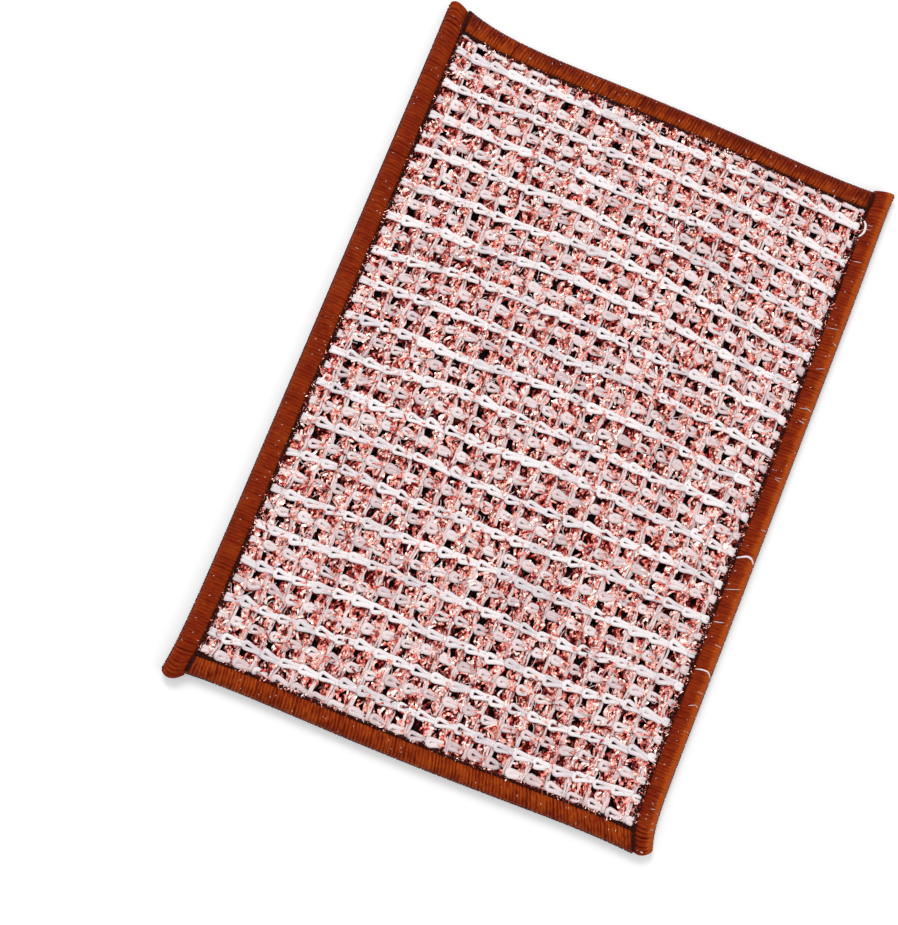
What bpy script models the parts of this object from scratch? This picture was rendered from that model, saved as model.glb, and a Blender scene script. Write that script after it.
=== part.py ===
"""Double-sided copper scrubbing cloth, lying flat with its scouring net up and its terry face down.

The cloth is two plies bound by an overlock seam on each edge. The lower ply is charcoal microfibre terry. The
upper ply is a warp-knitted scouring net: white chain yarns run across the cloth, alternately on the face and
deeper at the back, and weft inlays of white and copper yarn run lengthwise through them. Each seam has three
threads: a needle thread along its inner edge, an upper looper thread over the top and the rim, and a lower
looper thread underneath. The side seams were sewn last, so they run past the end seams as small corner ears.

Units are metres. X runs across the cloth, Y along it and Z up. The origin is on the table under the middle.
"""

import math

import bmesh
import bpy

MM = 0.001

# Flat pattern's outline over the seams and corner ears, and how sewing draws its edges in and its corners out
CLOTH_WIDTH = 140 * MM
CLOTH_LENGTH = 202 * MM
CORNER_EAR = 1.3 * MM
SIDE_DRAW_IN = 1.0 * MM
END_DRAW_IN = 0.9 * MM
CORNER_SPREAD = 0.6 * MM
CORNER_REACH = 1.0 * MM

# Free space between pieces that touch, and between the seams and the table
CLEARANCE = 0.3 * MM
TABLE_GAP = 0.1 * MM

# Overlock seams
SIDE_SEAM_WIDTH = 5.8 * MM
END_SEAM_WIDTH = 5.4 * MM
THREAD_BUILD = 0.8 * MM
EDGE_THREAD_BUILD = 0.3 * MM
RIM_BUILD = 0.9 * MM
RIB_PITCH = 4.4 * MM
RIB_DEPTH = 0.35 * MM
LINING_RIPPLE = 0.08 * MM
THREAD_SLANT = 1.1 * MM
EAR_ROUNDING = 0.6 * MM
NEEDLE_THREAD_RADIUS = 0.3 * MM
NEEDLE_THREAD_SIDES = 6

# Where a looper shell's outside bends: shares of the seam's width, of the rim's build and of the shell's height
INNER_BEND = 0.7
OUTER_BEND = 0.35
RIM_BEND = 0.4
RIM_BEND_HEIGHT = 0.75

# Terry ply, in the open field and pressed in the seams
TERRY_THICKNESS = 2.8 * MM
PRESSED_TERRY = 1.4 * MM
HEM_SLOPE = 1.2 * MM

# Scouring net
CHAIN_PITCH = 10.3 * MM
CHAIN_WIDTH = 2.3 * MM
CHAIN_THICKNESS = 1.1 * MM
KNOT_RISE = 0.15 * MM
BACK_CHAIN_WIDTH = 1.9 * MM
BACK_CHAIN_THICKNESS = 0.7 * MM
WEFT_PITCH = 5.7 * MM
WHITE_WEFT_WIDTH = 1.3 * MM
WHITE_WEFT_THICKNESS = 0.6 * MM
COPPER_WIDTH = 1.9 * MM
COPPER_THICKNESS = 0.45 * MM
COPPER_BESIDE_WEFT = 1.7 * MM
PRESSED_YARN = 0.4 * MM
PRESSED_NET = 0.5 * MM

# How the long pieces follow the drawn-in outline
OUTLINE_STEP = 9 * MM
YARN_STEP = 26 * MM
DRAW_IN_SHARPNESS = 6
CORNER_SHARPNESS = 10

# Edges sharper than this are shaded as edges
CREASE_DEGREES = 35

# Lines and levels that follow from the sizes above
HALF_WIDTH = CLOTH_WIDTH / 2
HALF_LENGTH = CLOTH_LENGTH / 2 - CORNER_EAR
PLY_INSET = RIM_BUILD + CLEARANCE
NEEDLE_LANE = 2 * NEEDLE_THREAD_RADIUS + 2 * CLEARANCE
SIDE_HEM = SIDE_SEAM_WIDTH + NEEDLE_LANE
END_HEM = END_SEAM_WIDTH + NEEDLE_LANE
FIELD_HALF_WIDTH = HALF_WIDTH - SIDE_HEM - HEM_SLOPE
FIELD_HALF_LENGTH = HALF_LENGTH - END_HEM - HEM_SLOPE

HEM_LIFT = TABLE_GAP + THREAD_BUILD + CLEARANCE
PRESSED_YARN_LEVEL = HEM_LIFT + PRESSED_TERRY + CLEARANCE
PRESSED_NET_LEVEL = PRESSED_YARN_LEVEL + PRESSED_YARN + CLEARANCE
HEM_TOP = PRESSED_NET_LEVEL + PRESSED_NET
PARTING_LEVEL = HEM_LIFT + PRESSED_TERRY / 2
BACK_CHAIN_LEVEL = TERRY_THICKNESS + CLEARANCE
COPPER_LEVEL = BACK_CHAIN_LEVEL + BACK_CHAIN_THICKNESS + CLEARANCE
NET_LEVEL = COPPER_LEVEL + COPPER_THICKNESS + CLEARANCE


def clear_scene():
    for old in list(bpy.data.objects):
        bpy.data.objects.remove(old, do_unlink=True)


def material(name, colour, roughness, metallic=0.0):
    made = bpy.data.materials.new(name)
    made.use_nodes = True
    shader = made.node_tree.nodes["Principled BSDF"]
    shader.inputs["Base Color"].default_value = (*colour, 1)
    shader.inputs["Roughness"].default_value = roughness
    shader.inputs["Metallic"].default_value = metallic
    return made


def sewn(x, y):
    """Where a point of the flat pattern lies once the seams have drawn the edges in and the corners out."""
    u = x / HALF_WIDTH
    v = y / HALF_LENGTH
    side = SIDE_DRAW_IN * max(0, 1 - abs(v) ** DRAW_IN_SHARPNESS)
    end = END_DRAW_IN * max(0, 1 - abs(u) ** DRAW_IN_SHARPNESS)
    spread = CORNER_SPREAD * abs(v) ** CORNER_SHARPNESS
    reach = CORNER_REACH * abs(u) ** CORNER_SHARPNESS
    return x + u * (spread - side), y + v * (reach - end)


def rise_share(x, y):
    """0 where the hem is pressed flat, 1 in the open field, and even slopes between."""
    from_side = HALF_WIDTH - abs(x) - SIDE_HEM
    from_end = HALF_LENGTH - abs(y) - END_HEM
    return min(1, max(0, min(from_side, from_end) / HEM_SLOPE))


def between(low, high, share):
    return low + (high - low) * share


def place(bm, x, y, z):
    return bm.verts.new((*sewn(x, y), z))


def finish(bm, name, finish_material):
    """Turns a bmesh into a named object, shaded smooth except at real edges."""
    bmesh.ops.recalc_face_normals(bm, faces=bm.faces)
    mesh = bpy.data.meshes.new(name)
    bm.to_mesh(mesh)
    bm.free()
    mesh.shade_smooth()
    mesh.set_sharp_from_angle(angle=math.radians(CREASE_DEGREES))
    mesh.materials.append(finish_material)
    made = bpy.data.objects.new(name, mesh)
    bpy.context.scene.collection.objects.link(made)
    return made


def loft(name, sections, finish_material):
    """One closed solid through sections of equal point counts, each a list of (x, y, z), with both ends capped."""
    bm = bmesh.new()
    rings = [[place(bm, *point) for point in section] for section in sections]
    for first, second in zip(rings, rings[1:]):
        for i in range(len(first)):
            j = (i + 1) % len(first)
            bm.faces.new((first[i], first[j], second[j], second[i]))
    bm.faces.new(rings[0])
    bm.faces.new(rings[-1][::-1])
    return finish(bm, name, finish_material)


def evenly(low, high, longest_step):
    steps = max(1, math.ceil((high - low) / longest_step - 1e-6))
    return [between(low, high, i / steps) for i in range(steps + 1)]


def centred_row(pitch, room, width):
    """Centres of as many strands of this width as fit in the room, a pitch apart."""
    count = 1 + max(0, math.floor((room - width) / pitch + 1e-9))
    return [(i - (count - 1) / 2) * pitch for i in range(count)]


# Terry ply


def outline(inset_x, inset_y):
    """Points round a rectangle that lies this far inside the cloth's edges."""
    a = HALF_WIDTH - inset_x
    b = HALF_LENGTH - inset_y
    across = evenly(-a, a, OUTLINE_STEP)
    along = evenly(-b, b, OUTLINE_STEP)
    points = [(x, -b) for x in across[:-1]]
    points += [(a, y) for y in along[:-1]]
    points += [(x, b) for x in across[:0:-1]]
    points += [(-a, y) for y in along[:0:-1]]
    return points


def build_terry(terry_material):
    """The terry cloth: full thickness in the field, and pressed thin and lifted off the table in the hem."""
    hem_top = HEM_LIFT + PRESSED_TERRY
    slopes = [
        (SIDE_HEM + HEM_SLOPE, END_HEM + HEM_SLOPE, 0),
        (SIDE_HEM, END_HEM, HEM_LIFT),
        (PLY_INSET, PLY_INSET, HEM_LIFT),
        (PLY_INSET, PLY_INSET, hem_top),
        (SIDE_HEM, END_HEM, hem_top),
        (SIDE_HEM + HEM_SLOPE, END_HEM + HEM_SLOPE, TERRY_THICKNESS),
    ]
    edge = outline(PLY_INSET, PLY_INSET)
    sections = []
    for inset_x, inset_y, z in slopes:
        shrink_x = (HALF_WIDTH - inset_x) / (HALF_WIDTH - PLY_INSET)
        shrink_y = (HALF_LENGTH - inset_y) / (HALF_LENGTH - PLY_INSET)
        sections.append([(x * shrink_x, y * shrink_y, z) for x, y in edge])
    return loft("terry_cloth", sections, terry_material)


# Scouring net


def weft_lines():
    """Centres of the white wefts. Each copper inlay lies beside one, so a bundle is as wide as both."""
    bundle = COPPER_BESIDE_WEFT + (COPPER_WIDTH + WHITE_WEFT_WIDTH) / 2
    middle = (COPPER_BESIDE_WEFT + (COPPER_WIDTH - WHITE_WEFT_WIDTH) / 2) / 2
    return [x + middle for x in centred_row(WEFT_PITCH, 2 * FIELD_HALF_WIDTH, bundle)]


def chain_lines():
    return centred_row(CHAIN_PITCH, 2 * FIELD_HALF_LENGTH, CHAIN_WIDTH)


def strand_stations(half_hem_end, hem_line, field_edge, strands, half_strand):
    """Positions of the net's mesh lines on one axis, each with its strand's height share: 1 on a centre line."""
    stations = {-half_hem_end: None, -hem_line: None, -field_edge: None}
    stations.update({field_edge: None, hem_line: None, half_hem_end: None})
    for centre in strands:
        stations[centre - half_strand] = 0
        stations[centre] = 1
        stations[centre + half_strand] = 0
    return sorted(stations.items())


def in_strand(stations, i):
    """Whether the stretch from mesh line i to the next is half of a strand."""
    share = stations[i][1]
    next_share = stations[i + 1][1]
    return share is not None and next_share is not None and share != next_share


def build_chain_net(yarn_material):
    """The white face of the net: every face chain, with every second white weft, fused where they cross."""
    xs = strand_stations(
        HALF_WIDTH - PLY_INSET, HALF_WIDTH - SIDE_HEM, FIELD_HALF_WIDTH, weft_lines()[::2], WHITE_WEFT_WIDTH / 2
    )
    ys = strand_stations(
        HALF_LENGTH - PLY_INSET, HALF_LENGTH - END_HEM, FIELD_HALF_LENGTH, chain_lines(), CHAIN_WIDTH / 2
    )
    bm = bmesh.new()
    lower = {}
    upper = {}

    def add_corner(i, j):
        x, weft_share = xs[i]
        y, chain_share = ys[j]
        share = rise_share(x, y)
        height = max((chain_share or 0) * CHAIN_THICKNESS, (weft_share or 0) * WHITE_WEFT_THICKNESS)
        if weft_share and chain_share:
            height += KNOT_RISE
        level = between(PRESSED_NET_LEVEL, NET_LEVEL, share)
        pressed_height = min(height, PRESSED_NET)
        lower[i, j] = place(bm, x, y, level)
        upper[i, j] = lower[i, j]
        if height:
            upper[i, j] = place(bm, x, y, level + between(pressed_height, height, share))

    for i in range(len(xs) - 1):
        for j in range(len(ys) - 1):
            if not in_strand(xs, i) and not in_strand(ys, j):
                continue
            cell = ((i, j), (i + 1, j), (i + 1, j + 1), (i, j + 1))
            for corner in cell:
                if corner not in lower:
                    add_corner(*corner)
            bm.faces.new([upper[corner] for corner in cell])
            bm.faces.new([lower[corner] for corner in reversed(cell)])
    cut_ends = [edge for edge in bm.edges if edge.is_boundary]
    bmesh.ops.holes_fill(bm, edges=cut_ends, sides=0)
    return finish(bm, "chain_net", yarn_material)


def bar_section(centre, half, along_x, position, levels):
    """Four corners of a flat yarn at one position along it. levels are its underside and its top."""
    low, high = levels
    if along_x:
        return [
            (position, centre - half, low),
            (position, centre + half, low),
            (position, centre + half / 2, high),
            (position, centre - half / 2, high),
        ]
    return [
        (centre + half, position, low),
        (centre - half, position, low),
        (centre - half / 2, position, high),
        (centre + half / 2, position, high),
    ]


def build_yarn(name, centre, width, along_x, level, thickness, yarn_material):
    """One flat yarn from hem to hem: at its own level in the field, and pressed onto the terry in the hem."""
    if along_x:
        cut_end, hem_line, field_edge = HALF_WIDTH - PLY_INSET, HALF_WIDTH - SIDE_HEM, FIELD_HALF_WIDTH
    else:
        cut_end, hem_line, field_edge = HALF_LENGTH - PLY_INSET, HALF_LENGTH - END_HEM, FIELD_HALF_LENGTH
    positions = [-cut_end, -hem_line, *evenly(-field_edge, field_edge, YARN_STEP), hem_line, cut_end]
    sections = []
    for position in positions:
        share = 1 if abs(position) <= field_edge else 0
        low = between(PRESSED_YARN_LEVEL, level, share)
        levels = (low, low + between(PRESSED_YARN, thickness, share))
        sections.append(bar_section(centre, width / 2, along_x, position, levels))
    return loft(name, sections, yarn_material)


def build_back_chains(yarn_material):
    chains = chain_lines()
    for number, (first, second) in enumerate(zip(chains, chains[1:]), start=1):
        build_yarn(
            f"back_chain_{number:02d}", (first + second) / 2, BACK_CHAIN_WIDTH, True,
            BACK_CHAIN_LEVEL, BACK_CHAIN_THICKNESS, yarn_material,
        )


def build_copper_inlays(copper_material):
    for number, weft in enumerate(weft_lines(), start=1):
        build_yarn(
            f"copper_inlay_{number:02d}", weft - COPPER_BESIDE_WEFT, COPPER_WIDTH, False,
            COPPER_LEVEL, COPPER_THICKNESS, copper_material,
        )


# Overlock seams


def seam_point(side, along, inward, z):
    """A point beside one edge: how far along it, how far in from the outer edge, and its height."""
    if side == "left":
        return (-HALF_WIDTH + inward, along, z)
    if side == "right":
        return (HALF_WIDTH - inward, along, z)
    if side == "top":
        return (along, HALF_LENGTH - inward, z)
    return (along, -HALF_LENGTH + inward, z)


def seam_run(side):
    """Half the length over which a seam covers the plies, and its width.

    The side seams cover the plies' ends. The end seams stop short of the side seams' needle threads.
    """
    if side in ("left", "right"):
        return HALF_LENGTH - RIM_BUILD, SIDE_SEAM_WIDTH
    return HALF_WIDTH - SIDE_HEM, END_SEAM_WIDTH


def looper_profile(width, depth, parting, lining, closed=False):
    """(inward, height) round a looper thread's shell: over its outside to the rim, then back along the plies.

    parting is the height where the upper and lower shells meet at the rim, and lining is the height of the shell's
    face against the plies, which follows the ribs a little. depth is how far the outside lies below the crest of a
    rib. A closed section has no room for the plies, as in a corner ear.
    """
    outwards = math.copysign(1, lining - parting)
    crest = lining + outwards * (THREAD_BUILD - depth)
    face = lining + outwards * LINING_RIPPLE * (1 - depth / RIB_DEPTH)
    profile = [
        (width, lining + outwards * EDGE_THREAD_BUILD),
        (INNER_BEND * width, crest),
        (OUTER_BEND * width, crest),
        (RIM_BEND * RIM_BUILD + depth / 2, between(parting, lining, RIM_BEND_HEIGHT)),
        (depth, parting),
        (RIM_BUILD, parting),
    ]
    if closed:
        return profile + [(width / 2, parting), (width, parting)]
    return profile + [(RIM_BUILD, face), (width, face)]


def build_looper(name, side, parting, lining, slant, thread_material):
    """One looper thread's ribbed shell along a seam, with closed corner ears on a side seam."""
    run, width = seam_run(side)
    ribs = max(2, round(2 * run / RIB_PITCH))

    def section(along, depth, closed=False):
        shift = slant / 2 * min(1, max(0, run - abs(along)) / width)
        return [
            seam_point(side, along + shift * (1 - 2 * inward / width), inward, z)
            for inward, z in looper_profile(width, depth, parting, lining, closed)
        ]

    sections = []
    for i in range(2 * ribs + 1):
        sections.append(section(between(-run, run, i / (2 * ribs)), 0 if i % 2 else RIB_DEPTH))
    if side in ("left", "right"):
        for end in (-1, 1):
            ear = [section(end * HALF_LENGTH, 0, True)]
            ear.append(section(end * (HALF_LENGTH + CORNER_EAR), EAR_ROUNDING, True))
            sections = ear[::-1] + sections if end < 0 else sections + ear
    return loft(name, sections, thread_material)


def build_upper_looper(side, thread_material):
    """The rust thread, whose close slanting passes lie over the net and round the rim."""
    return build_looper(
        f"upper_looper_thread_{side}", side, PARTING_LEVEL + CLEARANCE / 2, HEM_TOP + CLEARANCE,
        THREAD_SLANT, thread_material,
    )


def build_lower_looper(side, thread_material):
    """The black thread, whose passes lie under the terry and slant the other way."""
    return build_looper(
        f"lower_looper_thread_{side}", side, PARTING_LEVEL - CLEARANCE / 2, HEM_LIFT - CLEARANCE,
        -THREAD_SLANT, thread_material,
    )


def build_needle_thread(side, thread_material):
    """The thread along the seam's inner edge, on the net. It ends with the plies, or short of a side seam's own."""
    run, width = seam_run(side)
    inward = width + NEEDLE_LANE / 2
    centre = HEM_TOP + CLEARANCE + NEEDLE_THREAD_RADIUS
    turns = [i * math.tau / NEEDLE_THREAD_SIDES for i in range(NEEDLE_THREAD_SIDES)]
    sections = []
    for along in evenly(CLEARANCE - run, run - CLEARANCE, OUTLINE_STEP):
        sections.append([
            seam_point(
                side, along,
                inward + NEEDLE_THREAD_RADIUS * math.cos(turn),
                centre + NEEDLE_THREAD_RADIUS * math.sin(turn),
            )
            for turn in turns
        ])
    return loft(f"needle_thread_{side}", sections, thread_material)


def build_scrubbing_cloth():
    clear_scene()
    charcoal = material("charcoal_terry", (0.038, 0.037, 0.040), 0.95)
    white = material("white_yarn", (0.86, 0.84, 0.86), 0.7)
    copper = material("copper_yarn", (0.78, 0.25, 0.16), 0.3, metallic=1)
    rust = material("rust_thread", (0.30, 0.05, 0.008), 0.6)
    black = material("black_thread", (0.02, 0.015, 0.018), 0.7)

    build_terry(charcoal)
    build_back_chains(white)
    build_copper_inlays(copper)
    build_chain_net(white)
    for side in ("left", "right", "top", "bottom"):
        build_lower_looper(side, black)
        build_upper_looper(side, rust)
        build_needle_thread(side, black)


build_scrubbing_cloth()
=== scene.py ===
"""Looks of the double-sided copper scrubbing cloth, lying with its net up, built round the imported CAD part.

Every yarn is a real strand. Geometry is worked out in millimetres on the flat pattern, then laid out as the
sewn cloth lies, and turned into metres when its mesh is made.
"""

import math

import bpy
import numpy as np
from mathutils import Matrix, Vector


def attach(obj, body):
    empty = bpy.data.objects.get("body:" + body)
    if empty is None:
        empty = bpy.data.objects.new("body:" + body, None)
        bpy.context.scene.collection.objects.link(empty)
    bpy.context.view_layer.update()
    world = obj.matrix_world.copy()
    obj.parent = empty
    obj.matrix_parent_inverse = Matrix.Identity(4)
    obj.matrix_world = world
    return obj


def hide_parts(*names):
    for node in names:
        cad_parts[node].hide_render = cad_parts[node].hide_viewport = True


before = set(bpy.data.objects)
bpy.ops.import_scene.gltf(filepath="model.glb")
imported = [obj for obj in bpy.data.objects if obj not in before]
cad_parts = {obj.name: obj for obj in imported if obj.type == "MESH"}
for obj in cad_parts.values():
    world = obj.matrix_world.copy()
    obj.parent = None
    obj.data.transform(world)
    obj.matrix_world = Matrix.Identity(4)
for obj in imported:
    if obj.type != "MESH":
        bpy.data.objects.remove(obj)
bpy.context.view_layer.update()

MM = 0.001
SEED = 11
rng = np.random.default_rng(SEED)

UP = (0, 0, 1)
LONG_SIDES = ("left", "right")
SIDES = (*LONG_SIDES, "top", "bottom")

# The sewn cloth, as in the CAD source, in millimetres
HALF_WIDTH = 70
HALF_LENGTH = 99.7
END_DRAW_IN = 0.9
DRAW_IN_SHARPNESS = 6
PLY_INSET = 1.2
SIDE_SEAM_WIDTH = 5.8
END_SEAM_WIDTH = 5.4
NEEDLE_LANE = 1.2
SIDE_HEM = SIDE_SEAM_WIDTH + NEEDLE_LANE
END_HEM = END_SEAM_WIDTH + NEEDLE_LANE
HEM_SLOPE = 1.2
HEM_LIFT = 1.2
PRESSED_TERRY = 1.4
TERRY_THICKNESS = 2.8
CHAIN_PITCH = 10.3
CHAIN_ROWS = 18
WEFT_PITCH = 5.7
WEFTS = 22
WEFT_SHIFT = 0.85
FIRST_WEFT = -(WEFTS - 1) / 2 * WEFT_PITCH + WEFT_SHIFT

# How the seams press the net down: its level and the share of relief that stays, in a lane beside each seam
PRESSED_LEVEL = 3.4
PRESSED_RELIEF = 0.1
PRESSED_LANE = 1.1

# How the real cloth lies, starting with how much narrower its top is and how far its middle line leans
TOP_TAPER = 0.015
SIDE_LEAN = 0.5
CORNER_SPREAD_SHARPNESS = 18
CORNER_REACH_SHARPNESS = 5
# How far each corner is drawn out sideways and endways: lower left, lower right, upper left, upper right
CORNER_SPREADS = (0.5, 3.9, 0.1, 0.8)
CORNER_REACHES = (0.5, 1.2, 5.3, 1.1)
CORNER_REACH_FADE = 5
# How far the sides are drawn in between the corners, in the same order, and how far the ends bow out, with the
# shift of the upper end's bow to the right
SIDE_DRAW_INS = (1.0, -0.15, 0.1, -1.0)
END_BOW = 1.2
END_BOW_SHIFT = 0.5
# Each corner's ear, in the same order: its length past the end, how far its tip bulges, where in the band's
# width the tip is, and how much farther its inner side reaches than its outer side
EARS = ((0.1, 1.9, 2.9, 0.0), (-2.4, 1.0, 3.5, 2.2), (-1.8, 1.0, 1.9, 1.1), (0.1, 0.3, 2.5, -0.6))
NO_EAR = (0, 0, 0, 0)
# The last stretch of a side seam, which bends into its ear, and the shorter one that rounds to the ear's level
EAR_BEND = 9.0
EAR_ROUNDING = 3.4
EAR_LEVEL = 2.7
# How the net's rows are shifted up, bowed, sagging and straying, and how far its columns lean
ROW_SHIFT = 1.6
ROW_BOW = 3.8
ROW_BOW_FADE = 2.8
ROW_BOW_TOP = 2.0
ROW_SAG_RIGHT = 1.6
ROW_WANDER = 0.45
ROW_WANDER_LENGTHS = (13, 6.1)
COLUMN_LEAN = 1.0

# Camera, in millimetres from the cloth's middle on the table
CAMERA_PLACE = (-62.9, -80.9, 590.6)
CAMERA_FORWARD = (0.07194, 0.10499, -0.99187)
CAMERA_UP = (-0.37956, 0.92251, 0.07011)
CAMERA_LENS = 82.8
SENSOR_LONG_SIDE = 36


def unit(vectors):
    return vectors / np.maximum(np.linalg.norm(vectors, axis=-1, keepdims=True), 1e-9)


def joined(*parts):
    return np.stack(np.broadcast_arrays(*parts), axis=-1)


def between(low, high, share):
    return low + (high - low) * share


def smoothstep(share):
    share = np.clip(share, 0, 1)
    return share * share * (3 - 2 * share)


def noise(strands, steps, knots, reach=1):
    """Random curves, one row a strand, with about one turn for each knot, that stay within the reach."""
    values = rng.uniform(-1, 1, (strands, knots + 2))
    places = np.linspace(0, knots, steps)
    first = places.astype(int)
    share = smoothstep(places - first)
    return (values[:, first] * (1 - share) + values[:, first + 1] * share) * reach


def shades(middle, spread, count):
    """Random tones about a middle one."""
    return np.clip(rng.normal(middle, spread, count), 0, 1)


def quads_between(strands, steps, sides, rings):
    """Corner numbers of the quads between each strand's rings of points, and their strands, steps and sides."""
    s, n, k = np.meshgrid(np.arange(strands), np.arange(steps - 1), np.arange(rings), indexing="ij")
    start = (s * steps + n) * sides
    other = (k + 1) % sides
    quads = joined(start + k, start + other, start + sides + other, start + sides + k)
    return quads.reshape(-1, 4), s, n, k


def plain_mesh(name, points, faces):
    """A mesh in metres from points in millimetres."""
    mesh = bpy.data.meshes.new(name)
    mesh.from_pydata((points * MM).tolist(), [], faces)
    return mesh


# How the flat pattern lies


def blended(corners, u, v):
    """A value between those of the four corners."""
    low = between(corners[0], corners[1], (1 + u) / 2)
    high = between(corners[2], corners[3], (1 + u) / 2)
    return between(low, high, (1 + v) / 2)


def laid(points):
    """Where points of the flat pattern lie on the sewn cloth."""
    x, y, z = np.moveaxis(points, -1, 0)
    u = x / HALF_WIDTH
    v = y / HALF_LENGTH
    side = blended(SIDE_DRAW_INS, u, v) * np.maximum(0, 1 - np.abs(v) ** DRAW_IN_SHARPNESS)
    end = END_DRAW_IN * np.maximum(0, 1 - np.abs(u) ** DRAW_IN_SHARPNESS)
    end = end - END_BOW * np.maximum(0, 1 - u * u) ** 2 * (1 + END_BOW_SHIFT * u * np.maximum(v, 0))
    spread = blended(CORNER_SPREADS, u, v) * np.abs(v) ** CORNER_SPREAD_SHARPNESS
    reach = blended(CORNER_REACHES, u, v) * np.abs(u) ** CORNER_REACH_SHARPNESS
    reach = reach * np.abs(v) ** CORNER_REACH_FADE
    taper = 1 - TOP_TAPER * np.clip(v, -1, 1)
    return joined((x + u * (spread - side)) * taper + SIDE_LEAN * v, y + v * (reach - end), z)


def knitted(points):
    """Where points of the straight knit lie on the flat pattern: its rows bow and its columns lean."""
    x, y, z = np.moveaxis(points, -1, 0)
    u = x / HALF_WIDTH
    v = np.clip(y / HALF_LENGTH, -1, 1)
    room = 1 - v * v
    bow = room * (ROW_BOW - ROW_BOW_FADE * u * u + ROW_BOW_TOP * v * (1 - 2 * u * u))
    lean = COLUMN_LEAN * v * (1 - u * u)
    sag = ROW_SAG_RIGHT * u * v * (1 - v**4)
    return joined(x + lean, y + ROW_SHIFT * (1 - v**4) + bow - sag, z)


def rise_share(x, y):
    """0 where the seams press the net down, 1 in the open field."""
    from_side = HALF_WIDTH - np.abs(x) - SIDE_SEAM_WIDTH - PRESSED_LANE
    from_end = HALF_LENGTH - np.abs(y) - END_SEAM_WIDTH - PRESSED_LANE
    return smoothstep(np.minimum(from_side, from_end) / HEM_SLOPE + 0.5)


def netted(points):
    """Lays points of the knit on the cloth, pressed flat where the seams hold them."""
    placed = knitted(points)
    x, y, z = np.moveaxis(placed, -1, 0)
    pressed = PRESSED_LEVEL + PRESSED_RELIEF * (z - PRESSED_LEVEL)
    placed[..., 2] = between(pressed, z, rise_share(x, y))
    return laid(placed)


# Strand meshes

UV_SHIFT = 400
TUBE_TURN = 0.5


def across_and_normal(paths, hint):
    """Directions square to the path at each of its points. The normal stays as near to the hint as it can."""
    tangent = unit(np.gradient(paths, axis=1))
    hint = np.broadcast_to(hint, paths.shape)
    normal = unit(hint - np.sum(hint * tangent, axis=-1, keepdims=True) * tangent)
    return np.cross(tangent, normal), normal


class Strands:
    """Collects swept strands for one mesh. A UV map holds their length and turn, and tone their shades."""

    def __init__(self):
        self.points = []
        self.faces = []
        self.uvs = []
        self.tones = []
        self.count = 0

    def store(self, paths, points, rings, first_turn, tones):
        """Keeps the points round paths, shaped (strand, step, side, xyz), and the quads between them."""
        strands, steps, sides = points.shape[:3]
        quads, s, n, k = quads_between(strands, steps, sides, rings)
        self.points.append(points.reshape(-1, 3))
        self.faces.extend((quads + self.count).tolist())
        step = np.linalg.norm(np.diff(paths, axis=1), axis=-1)
        length = np.concatenate([np.zeros((strands, 1)), np.cumsum(step, axis=1)], axis=1)
        shift = rng.uniform(0, UV_SHIFT, strands)[:, None, None, None]
        along = joined(length[s, n], length[s, n], length[s, n + 1], length[s, n + 1]) + shift
        around = (joined(k, k + 1, k + 1, k) + first_turn) / rings
        self.uvs.append(joined(along, around).reshape(-1, 2))
        tones = np.broadcast_to(np.reshape(tones, (strands, -1)), (strands, steps))
        self.tones.append(np.repeat(tones, sides))
        self.count += strands * steps * sides

    def tubes(self, paths, half_width, half_thickness, sides, hint, tones):
        """Tubes of oval section along paths, shaped (strand, step, xyz)."""
        across, normal = across_and_normal(paths, hint)
        half_width = np.broadcast_to(half_width, paths.shape[:2])[..., None, None]
        half_thickness = np.broadcast_to(half_thickness, paths.shape[:2])[..., None, None]
        turn = (np.arange(sides) + TUBE_TURN) / sides * math.tau
        ring = across[..., None, :] * np.cos(turn)[:, None] * half_width
        ring = ring + normal[..., None, :] * np.sin(turn)[:, None] * half_thickness
        self.store(paths, paths[..., None, :] + ring, sides, TUBE_TURN, tones)

    def ribbons(self, paths, half_width, roll, hint, tones):
        """Flat ribbons along paths, turned about their own line by roll, an angle for each path point."""
        across, normal = across_and_normal(paths, hint)
        edge = across * np.cos(roll)[..., None] + normal * np.sin(roll)[..., None]
        edge = edge * np.broadcast_to(half_width, paths.shape[:2])[..., None]
        self.store(paths, np.stack([paths - edge, paths + edge], axis=2), 1, 0, tones)

    def finish(self, name, material, slot, *nodes):
        mesh = plain_mesh(name, np.concatenate(self.points), self.faces)
        uvs = np.concatenate(self.uvs).ravel().astype(np.float32)
        mesh.uv_layers.new(name="strand").data.foreach_set("uv", uvs)
        tone = mesh.attributes.new("tone", "FLOAT", "POINT")
        tone.data.foreach_set("value", np.concatenate(self.tones).astype(np.float32))
        mesh.shade_smooth()
        return add_piece(name, mesh, material, slot, *nodes)


def add_object(name, data):
    made = bpy.data.objects.new(name, data)
    bpy.context.scene.collection.objects.link(made)
    return made


def add_piece(name, mesh, material, slot, *nodes):
    """Makes a visible piece that stands in for these CAD nodes."""
    mesh.materials.append(material)
    piece = add_object(name, mesh)
    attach(piece, "root")
    if nodes:
        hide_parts(*nodes)
    return piece


# Materials


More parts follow.
